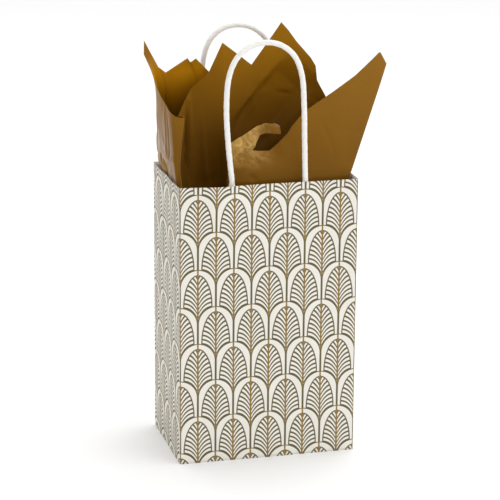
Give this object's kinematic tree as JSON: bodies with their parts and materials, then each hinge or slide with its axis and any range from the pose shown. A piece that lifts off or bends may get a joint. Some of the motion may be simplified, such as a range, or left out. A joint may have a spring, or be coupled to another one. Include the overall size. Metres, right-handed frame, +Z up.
{
  "type": "paper gift bag",
  "caption": "Small upright paper gift bag with a block bottom, fold-in side gussets, two twisted-paper carrying handles and tissue sheets standing in its open top.",
  "frame": {"origin": "middle of the base, on the underside that the bag stands on", "axes": "+Z up through the open top; -Y is the front panel; +X is the right side seen from the front"},
  "size_m": [0.1792, 0.0888, 0.3165],
  "materials": {
    "bag_paper": "matte",
    "patch_paper": "matte",
    "paper_cord": "matte",
    "tissue_paper": "matte"
  },
  "bodies": {
    "bag_rear": {"rear_panel": "bag_paper", "side_seam_tab": "bag_paper", "bottom_flap_rear": "bag_paper", "bottom_flap_front": "bag_paper", "bottom_flap_left": "bag_paper", "bottom_flap_right": "bag_paper", "rear_patch_base": "patch_paper", "rear_patch_cover": "patch_paper", "rear_cord_end_left": "paper_cord", "rear_cord_end_right": "paper_cord"},
    "left_gusset_rear": {"left_gusset_rear": "bag_paper"},
    "left_gusset_front": {"left_gusset_front": "bag_paper"},
    "right_gusset_rear": {"right_gusset_rear": "bag_paper"},
    "right_gusset_front": {"right_gusset_front": "bag_paper"},
    "bag_front": {"front_panel": "bag_paper", "front_patch_base": "patch_paper", "front_patch_cover": "patch_paper", "front_cord_end_left": "paper_cord", "front_cord_end_right": "paper_cord"},
    "front_handle": {"front_handle": "paper_cord"},
    "rear_handle": {"rear_handle": "paper_cord"},
    "tissue_left": {"tissue_left": "tissue_paper"},
    "tissue_rear": {"tissue_rear": "tissue_paper"},
    "tissue_front": {"tissue_front": "tissue_paper"}
  },
  "joints": [
    {"name": "fold_flat", "type": "hinge", "parent": "bag_rear", "child": "left_gusset_rear", "pos_m": [-0.06638, 0.04415, 0], "axis": [0, 0, 1], "range_deg": [0, 78], "deforming": ["tissue_left", "tissue_rear", "tissue_front", "bottom_flap_rear", "bottom_flap_front", "bottom_flap_left", "bottom_flap_right"]},
    {"name": "left_gusset_crease", "type": "hinge", "parent": "left_gusset_rear", "child": "left_gusset_front", "pos_m": [-0.06667, 0, 0], "axis": [0, 0, 1], "range_deg": [-156, 0]},
    {"name": "front_left_corner", "type": "hinge", "parent": "left_gusset_front", "child": "bag_front", "pos_m": [-0.06638, -0.04415, 0], "axis": [0, 0, 1], "range_deg": [0, 78]},
    {"name": "rear_right_corner", "type": "hinge", "parent": "bag_rear", "child": "right_gusset_rear", "pos_m": [0.06638, 0.04415, 0], "axis": [0, 0, 1], "range_deg": [-78, 0]},
    {"name": "right_gusset_crease", "type": "hinge", "parent": "right_gusset_rear", "child": "right_gusset_front", "pos_m": [0.06667, 0, 0], "axis": [0, 0, 1], "range_deg": [0, 156]},
    {"name": "front_handle_swing", "type": "hinge", "parent": "bag_front", "child": "front_handle", "pos_m": [0, -0.04175, 0.21285], "axis": [1, 0, 0], "range_deg": [-23, 105]},
    {"name": "rear_handle_swing", "type": "hinge", "parent": "bag_rear", "child": "rear_handle", "pos_m": [0, 0.04175, 0.21285], "axis": [-1, 0, 0], "range_deg": [-23, 105]},
    {"name": "tissue_left_lift", "type": "slide", "parent": "bag_rear", "child": "tissue_left", "axis": [0, 0, 1], "range_m": [0, 0.22]},
    {"name": "tissue_rear_lift", "type": "slide", "parent": "bag_rear", "child": "tissue_rear", "axis": [0, 0, 1], "range_m": [0, 0.22]},
    {"name": "tissue_front_lift", "type": "slide", "parent": "bag_rear", "child": "tissue_front", "axis": [0, 0, 1], "range_m": [0, 0.22]}
  ],
  "couplings": [
    {"joint": "left_gusset_crease", "follows": "fold_flat", "ratio": -2},
    {"joint": "front_left_corner", "follows": "fold_flat", "ratio": 1},
    {"joint": "rear_right_corner", "follows": "fold_flat", "ratio": -1},
    {"joint": "right_gusset_crease", "follows": "fold_flat", "ratio": 2}
  ]
}
